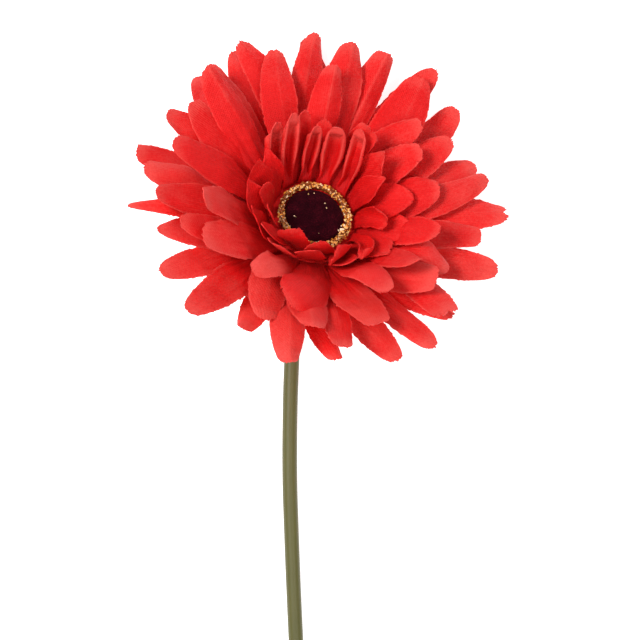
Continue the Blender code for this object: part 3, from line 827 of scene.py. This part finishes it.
def calyx(mat):
    """The moulded cup: two rows of pointed bracts, each with a raised midrib, round a stem socket."""
    around = CALYX_BRACTS * 20
    profile = CALYX_OUTSIDE + CALYX_INSIDE
    points, faces = [], []
    for row, (radius, height, share) in enumerate(profile):
        for turn in turns_of(around):
            tooth = abs(math.cos(CALYX_BRACTS * turn / 2))
            r = radius - share * 1.4 * (1 - tooth)
            if row < len(CALYX_OUTSIDE):
                lower = abs(math.sin(CALYX_BRACTS * turn / 2))
                r += 0.25 * math.exp(-((height - LOWER_BRACTS) ** 2) / 3.0) * lower
                r += 0.14 * share * math.exp(-(((1 - tooth) / 0.06) ** 2))
            points.append(round_axis(r, turn, height))
    rows = len(profile)
    for i in range(rows):
        a, b = i * around, (i + 1) % rows * around
        for k in range(around):
            after = (k + 1) % around
            faces.append((a + k, a + after, b + after, b + k))
    piece = add_piece("calyx_cup", points, faces, head_matrix())
    piece.data.set_sharp_from_angle(angle=math.radians(45))
    piece.data.materials.append(mat)
    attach(piece, "root")
    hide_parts("calyx")
    return piece


# --- Materials ---------------------------------------------------------------------------------------


class Nodes:
    """A material's node tree, with short calls for the nodes used here."""

    def __init__(self, name):
        self.material = bpy.data.materials.new(name)
        self.material.use_nodes = True
        self.tree = self.material.node_tree
        self.shader = self.tree.nodes["Principled BSDF"]

    def link(self, source, node, socket):
        self.tree.links.new(source, node.inputs[socket])

    def new(self, kind, **settings):
        node = self.tree.nodes.new(kind)
        for key, value in settings.items():
            setattr(node, key, value)
        return node

    def math(self, operation, a, b=0.0):
        node = self.new("ShaderNodeMath", operation=operation)
        for socket, value in enumerate((a, b)):
            if isinstance(value, (int, float)):
                node.inputs[socket].default_value = value
            else:
                self.link(value, node, socket)
        return node.outputs[0]

    def noise(self, vector, scale, detail=3.0):
        node = self.new("ShaderNodeTexNoise")
        node.inputs["Scale"].default_value = scale
        node.inputs["Detail"].default_value = detail
        self.link(vector, node, "Vector")
        return node.outputs["Fac"]

    def ramp(self, factor, *stops):
        node = self.new("ShaderNodeValToRGB")
        elements = node.color_ramp.elements
        while len(elements) < len(stops):
            elements.new(0.5)
        for element, (position, colour) in zip(elements, stops):
            element.position = position
            element.color = (*colour, 1.0)
        self.link(factor, node, "Fac")
        return node.outputs["Color"]

    def mix(self, factor, a, b):
        node = self.new("ShaderNodeMix", data_type="RGBA")
        for socket, value in ((0, factor), (6, a), (7, b)):
            if isinstance(value, (int, float)):
                node.inputs[socket].default_value = value
            elif isinstance(value, tuple):
                node.inputs[socket].default_value = (*value, 1.0)
            else:
                self.tree.links.new(value, node.inputs[socket])
        return node.outputs[2]

    def bump(self, height, distance, strength=1.0, under=None):
        node = self.new("ShaderNodeBump")
        node.inputs["Strength"].default_value = strength
        node.inputs["Distance"].default_value = distance
        self.link(height, node, "Height")
        if under is not None:
            self.link(under, node, "Normal")
        return node.outputs["Normal"]

    def place(self):
        return self.new("ShaderNodeTexCoord").outputs["Object"]


def cloth_material():
    """Red woven polyester: plain weave in the flat cut's directions, pressed ribs along each petal, and
    painted
    light in its colour: painted highlight where its mark is above 0, painted shade where it is below."""
    n = Nodes("red_cloth")
    flat = n.new("ShaderNodeUVMap", uv_map="flat").outputs["UV"]
    parts = n.new("ShaderNodeSeparateXYZ")
    n.link(flat, parts, 0)
    turns = 2 * math.pi * MAP_UNIT / WEAVE_STEP
    warp = n.math("COSINE", n.math("MULTIPLY", parts.outputs["X"], turns))
    weft = n.math("COSINE", n.math("MULTIPLY", parts.outputs["Y"], turns))
    yarns = n.noise(flat, 90.0, 2.0)
    weave = n.math("ADD", n.math("MULTIPLY", warp, weft), n.math("MULTIPLY", weft, 0.6))

    # The ribs are strongest near the foot.
    along = n.new("ShaderNodeMapping")
    along.inputs["Scale"].default_value = (95.0, 3.2, 1.0)
    n.link(n.new("ShaderNodeUVMap", uv_map="ribs").outputs["UV"], along, "Vector")
    ribs = n.noise(along.outputs["Vector"], 1.0, 2.0)
    near_foot = n.math("SUBTRACT", 1.0, n.new("ShaderNodeAttribute", attribute_name="along").outputs["Fac"])
    ribs = n.math("MULTIPLY", n.math("SUBTRACT", ribs, 0.5), n.math("ADD", near_foot, 0.25))

    height = n.math("ADD", n.math("MULTIPLY", weave, 0.5), n.math("MULTIPLY", yarns, 0.8))
    pressed = n.bump(ribs, 0.00025, 1.0)
    n.link(n.bump(height, 0.00013, 0.9, pressed), n.shader, "Normal")

    patches = n.noise(n.place(), 55.0, 6.0)
    colour = n.ramp(patches, (0.3, RED_DARK), (0.7, RED_LIGHT))
    threads = n.math("MULTIPLY", n.math("ADD", weave, 1.6), 0.18)
    colour = n.mix(threads, colour, RED_THREAD)

    # the nap's fine noise and the ribs' streaks join the painted light's mark as the cloth's own mottle
    nap = n.math("MULTIPLY", n.math("SUBTRACT", n.noise(n.place(), 1400.0, 3.0), 0.5), 1.2)
    press = n.new("ShaderNodeAttribute", attribute_name="press").outputs["Fac"]
    press = n.math("ADD", n.math("ADD", press, nap), n.math("MULTIPLY", ribs, 0.9))
    pale = n.math("MAXIMUM", press, 0.0)
    shade_share = n.math("MAXIMUM", n.math("MULTIPLY", press, -1.0), 0.0)
    # painted highlight where the mark is above 0
    colour = n.mix(n.math("MULTIPLY", pale, 0.75), colour, RED_HIGHLIGHT)
    # painted shade where the mark is below 0
    colour = n.mix(n.math("MULTIPLY", shade_share, 0.8), colour, RED_SHADE)
    n.link(colour, n.shader, "Base Color")
    n.shader.inputs["Roughness"].default_value = 0.50
    n.shader.inputs["Specular IOR Level"].default_value = 0.20
    n.shader.inputs["Sheen Weight"].default_value = 0.03
    n.shader.inputs["Sheen Roughness"].default_value = 0.45
    n.shader.inputs["Sheen Tint"].default_value = (1.0, 0.40, 0.36, 1.0)
    return n.material


def flock_material():
    """Maroon flock: a fine dark pile, thinner in places."""
    n = Nodes("maroon_flock")
    place = n.place()
    fine, broad = n.noise(place, 2600.0, 2.0), n.noise(place, 380.0, 3.0)
    both = n.math("ADD", n.math("MULTIPLY", fine, 0.5), n.math("MULTIPLY", broad, 0.5))
    colour = n.ramp(
        both,
        (0.35, (0.010, 0.0005, 0.002)),
        (0.55, (0.026, 0.0010, 0.004)),
        (0.75, (0.085, 0.004, 0.010)),
    )
    n.link(colour, n.shader, "Base Color")
    n.link(n.bump(fine, 0.0003, 0.9), n.shader, "Normal")
    n.shader.inputs["Roughness"].default_value = 1.0
    n.shader.inputs["Specular IOR Level"].default_value = 0.05
    n.shader.inputs["Sheen Weight"].default_value = 0.12
    n.shader.inputs["Sheen Roughness"].default_value = 0.5
    n.shader.inputs["Sheen Tint"].default_value = (0.6, 0.08, 0.12, 1.0)
    return n.material


def pollen_material():
    """Golden crumbs, each of its own tone, on a dark bed painted as the shade between them."""
    n = Nodes("gold_crumbs")
    tone = n.new("ShaderNodeAttribute", attribute_name="tone").outputs["Fac"]
    colour = n.ramp(
        tone,
        # the bed: painted shade between the crumbs
        (0.0, (0.16, 0.030, 0.003)),
        (0.25, (0.40, 0.09, 0.010)),
        (0.50, (0.95, 0.36, 0.045)),
        (0.8, (1.0, 0.62, 0.20)),
        (1.0, (1.0, 0.74, 0.48)),
    )
    n.link(colour, n.shader, "Base Color")
    n.link(n.bump(n.noise(n.place(), 3000.0, 2.0), 0.0001, 0.6), n.shader, "Normal")
    n.shader.inputs["Roughness"].default_value = 0.42
    n.shader.inputs["Specular IOR Level"].default_value = 0.35
    return n.material


def plastic_material(name, dark, light, roughness):
    """Moulded plastic, slightly mottled, with fine grain along the stem."""
    n = Nodes(name)
    place = n.place()
    stretched = n.new("ShaderNodeMapping")
    stretched.inputs["Scale"].default_value = (1.0, 0.12, 1.0)
    n.link(place, stretched, "Vector")
    grain = n.noise(stretched.outputs["Vector"], 900.0, 3.0)
    patches = n.noise(stretched.outputs["Vector"], 130.0, 3.0)
    both = n.math("ADD", n.math("MULTIPLY", grain, 0.35), n.math("MULTIPLY", patches, 0.65))
    n.link(n.ramp(both, (0.3, dark), (0.7, light)), n.shader, "Base Color")
    n.link(n.bump(grain, 0.00006, 0.5), n.shader, "Normal")
    n.shader.inputs["Roughness"].default_value = roughness
    n.shader.inputs["Specular IOR Level"].default_value = 0.4
    return n.material


def wire_material():
    """Drawn steel with streaks along it."""
    n = Nodes("drawn_wire")
    stretched = n.new("ShaderNodeMapping")
    stretched.inputs["Scale"].default_value = (1.0, 0.02, 1.0)
    n.link(n.place(), stretched, "Vector")
    streaks = n.noise(stretched.outputs["Vector"], 4000.0, 2.0)
    n.link(n.ramp(streaks, (0.3, (0.30, 0.30, 0.31)), (0.7, (0.52, 0.52, 0.53))), n.shader, "Base Color")
    n.link(n.bump(streaks, 0.00003, 0.5), n.shader, "Normal")
    n.shader.inputs["Metallic"].default_value = 1.0
    n.shader.inputs["Roughness"].default_value = 0.35
    return n.material


def floor_material():
    """A bright, even, matt table top."""
    n = Nodes("white_table")
    n.shader.inputs["Base Color"].default_value = (0.82, 0.82, 0.82, 1.0)
    n.shader.inputs["Roughness"].default_value = 0.9
    n.shader.inputs["Emission Color"].default_value = (1.0, 1.0, 1.0, 1.0)
    n.shader.inputs["Emission Strength"].default_value = TABLE_GLOW
    return n.material


# --- The stage ---------------------------------------------------------------------------------------


def stage():
    """The table top, an even sky and two soft lamps."""
    half = TABLE_HALF
    mesh = bpy.data.meshes.new("table_top")
    corners = [(-half, -half, 0), (half, -half, 0), (half, half, 0), (-half, half, 0)]
    mesh.from_pydata(corners, [], [(0, 1, 2, 3)])
    mesh.materials.append(floor_material())
    floor = bpy.data.objects.new("table_top", mesh)
    bpy.context.scene.collection.objects.link(floor)

    world = bpy.data.worlds.new("studio")
    world.use_nodes = True
    world.node_tree.nodes["Background"].inputs["Color"].default_value = (1.0, 1.0, 1.0, 1.0)
    world.node_tree.nodes["Background"].inputs["Strength"].default_value = SKY_STRENGTH
    bpy.context.scene.world = world
    bpy.context.scene.view_settings.view_transform = "Standard"

    for name, place, size, energy in LAMPS:
        light = bpy.data.lights.new(name, "AREA")
        light.size = size
        light.energy = energy
        lamp = bpy.data.objects.new(name, light)
        lamp.location = place
        lamp.rotation_euler = (LAMPS_AIM - Vector(place)).to_track_quat("-Z", "Y").to_euler()
        bpy.context.scene.collection.objects.link(lamp)


def camera():
    """Straight above, so that the lying flower is seen as if it stood upright."""
    data = bpy.data.cameras.new("camera")
    data.sensor_width = 36.0
    data.lens = LENS
    data.clip_start, data.clip_end = 0.01, 20.0
    seen = bpy.data.objects.new("camera", data)
    seen.location = CAMERA_PLACE
    bpy.context.scene.collection.objects.link(seen)
    bpy.context.scene.camera = seen


def main():
    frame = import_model()
    camera()
    stage()
    cloth = cloth_material()
    carrier = "calyx"
    for layer in LAYERS:
        carrier = petal_layer(layer, cloth).name
    centre_pad(flock_material())
    pollen(pollen_material())
    stem(plastic_material("olive_plastic", (0.088, 0.085, 0.020), (0.122, 0.114, 0.030), 0.45))
    calyx(plastic_material("calyx_plastic", (0.10, 0.13, 0.04), (0.16, 0.19, 0.07), 0.5))
    pin_look = plastic_material("natural_plastic", (0.60, 0.60, 0.55), (0.72, 0.72, 0.66), 0.5)
    for node, look in (("stem_wire", wire_material()), ("layer_pin", pin_look)):
        looks = frame["nodes"][node].data.materials
        looks.clear()
        looks.append(look)


main()
